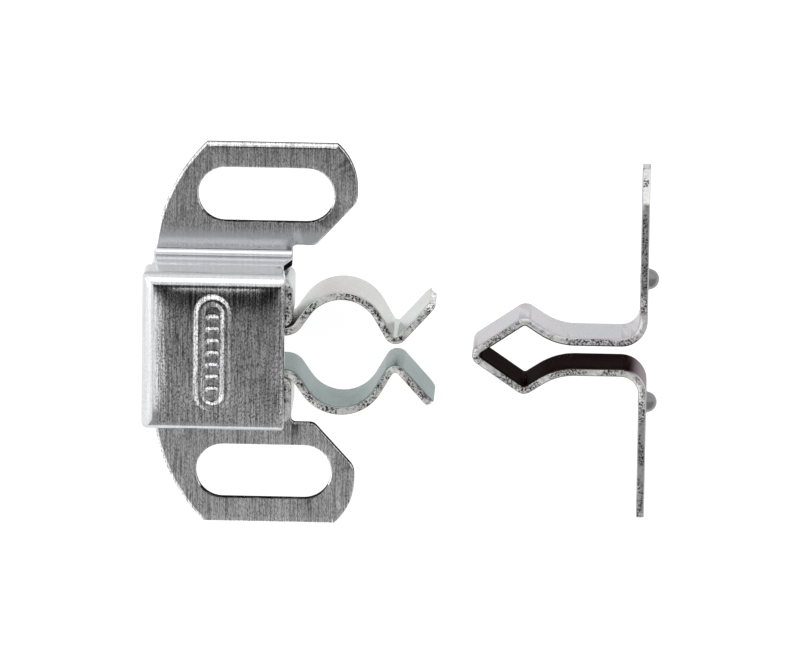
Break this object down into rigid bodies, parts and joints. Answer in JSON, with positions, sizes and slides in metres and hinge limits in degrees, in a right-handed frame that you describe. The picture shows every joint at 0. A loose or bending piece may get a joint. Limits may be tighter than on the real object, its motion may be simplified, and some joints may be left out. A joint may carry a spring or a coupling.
{
  "type": "double spring friction catch with spear strike",
  "caption": "Cabinet or gate friction catch: slotted frame with covered spring clip whose two leaves snap over a spear-shaped strike that slides in.",
  "frame": {"origin": "midpoint between the two screw slots on the catch's mounting face", "axes": "+Z out of the mounting face, +X from the catch towards the strike along the line of engagement, +Y across the leaves"},
  "size_m": [0.0512, 0.0388, 0.0107],
  "materials": {
    "frame_sheet": "bright zinc over vertical brushing",
    "cover_sheet": "bright zinc over vertical brushing, mirror-bright bends",
    "spring_strip": "smooth bright zinc with a cool tint, rough sheared edges",
    "strike_strip": "smooth bright zinc, rough sheared edges"
  },
  "bodies": {
    "catch": {"frame": "frame_sheet", "cover": "cover_sheet", "spring_clip": "spring_strip"},
    "upper_leaf": {"upper_leaf": "spring_strip"},
    "lower_leaf": {"lower_leaf": "spring_strip"},
    "strike": {"strike": "strike_strip"}
  },
  "joints": [
    {"name": "strike_slide", "type": "slide", "parent": "catch", "child": "strike", "axis": [-1, 0, 0], "range_m": [0, 0.0165], "deforming": ["upper_leaf", "lower_leaf"]},
    {"name": "upper_leaf_flex", "type": "hinge", "parent": "catch", "child": "upper_leaf", "pos_m": [0.0023, 0.0021, 0.00525], "axis": [0, 0, 1], "range_deg": [0, 6], "stiffness_Nm_per_rad": 0.01},
    {"name": "lower_leaf_flex", "type": "hinge", "parent": "catch", "child": "lower_leaf", "pos_m": [0.0023, -0.0021, 0.00525], "axis": [0, 0, -1], "range_deg": [0, 6], "stiffness_Nm_per_rad": 0.01}
  ],
  "couplings": [
    {"joint": "upper_leaf_flex", "follows": "strike_slide", "rad_per_m": 5.82},
    {"joint": "lower_leaf_flex", "follows": "strike_slide", "rad_per_m": 5.82}
  ]
}
